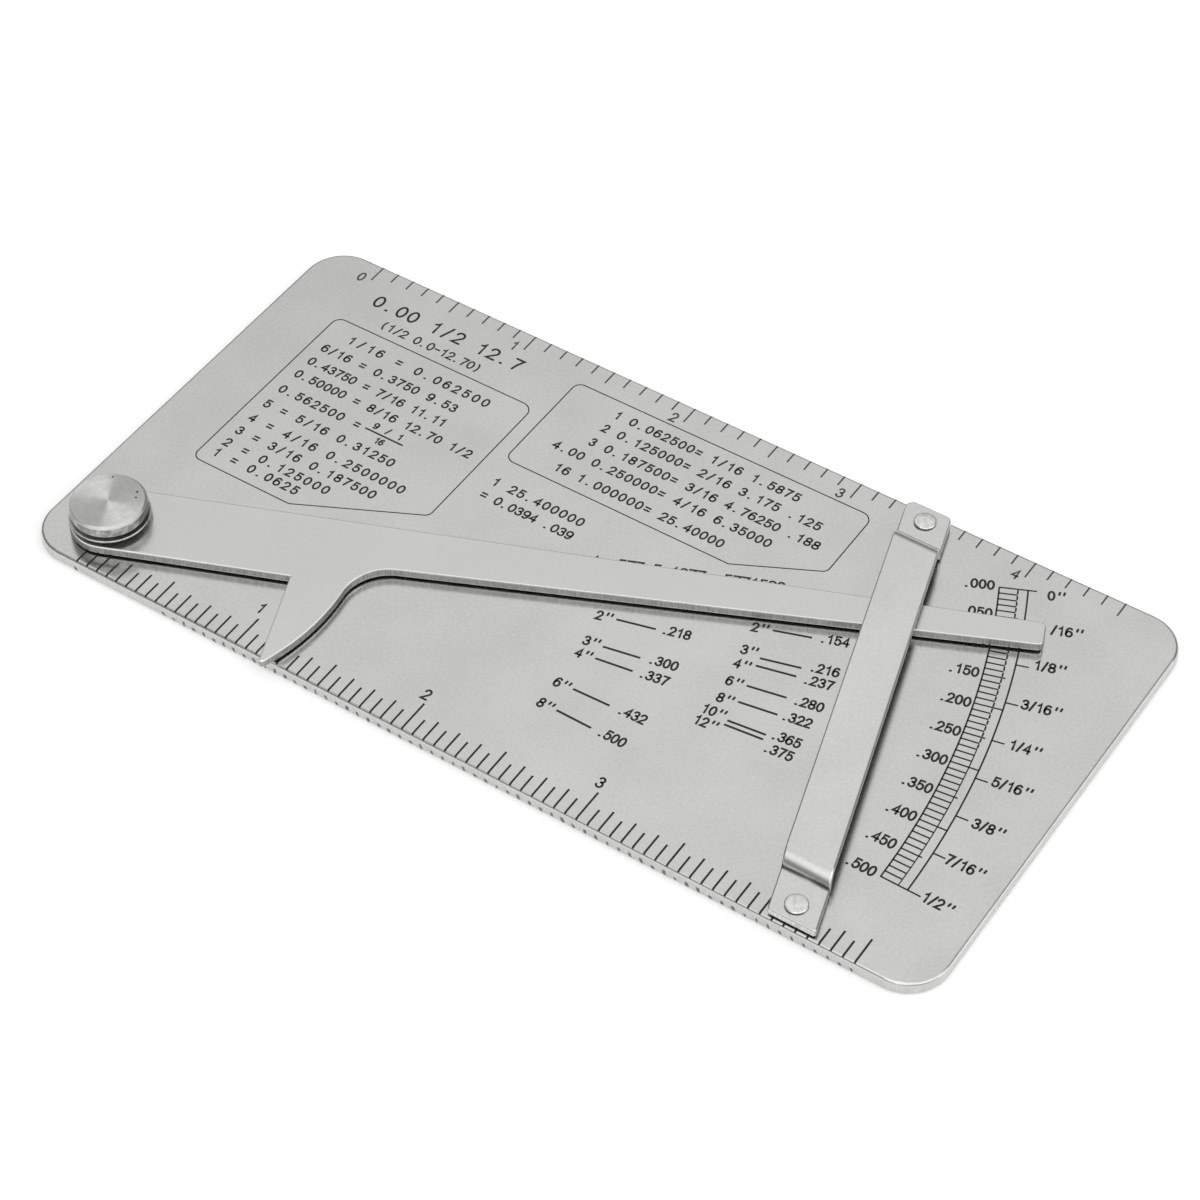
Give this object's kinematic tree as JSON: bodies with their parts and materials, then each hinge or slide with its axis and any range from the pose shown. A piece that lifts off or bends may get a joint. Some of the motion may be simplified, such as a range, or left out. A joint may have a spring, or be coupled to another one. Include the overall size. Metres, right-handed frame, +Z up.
{
  "type": "pipe pit depth gauge",
  "caption": "Flat steel pocket gauge whose pivoted lever and pointer measure how deep a pit or weld lies below the plate's long edge.",
  "frame": {"origin": "middle of the plate's flat back", "axes": "+X along the plate's length from the pivot towards the depth scale, +Y across it from the near measuring edge to the far edge, +Z up through the marked face"},
  "size_m": [0.1324, 0.0674, 0.0066],
  "materials": {
    "plate": "fine satin",
    "lever": "fine satin",
    "stud": "turned, with fine rings on the head",
    "washer": "smooth spring steel",
    "strap": "fine satin",
    "rivet": "bright, peened",
    "ink": "dark etched graduations and figures"
  },
  "bodies": {
    "gauge_plate": {"base_plate": "plate", "pivot_stud": "stud", "spring_washer": "washer", "guide_strap": "strap", "near_rivet": "rivet", "far_rivet": "rivet"},
    "lever": {"depth_lever": "lever"}
  },
  "joints": [
    {"name": "lever_pivot", "type": "hinge", "parent": "gauge_plate", "child": "lever", "pos_m": [-0.05755, -0.02555, 0.0029], "axis": [0, 0, 1], "range_deg": [-21.8, 4.2]}
  ]
}
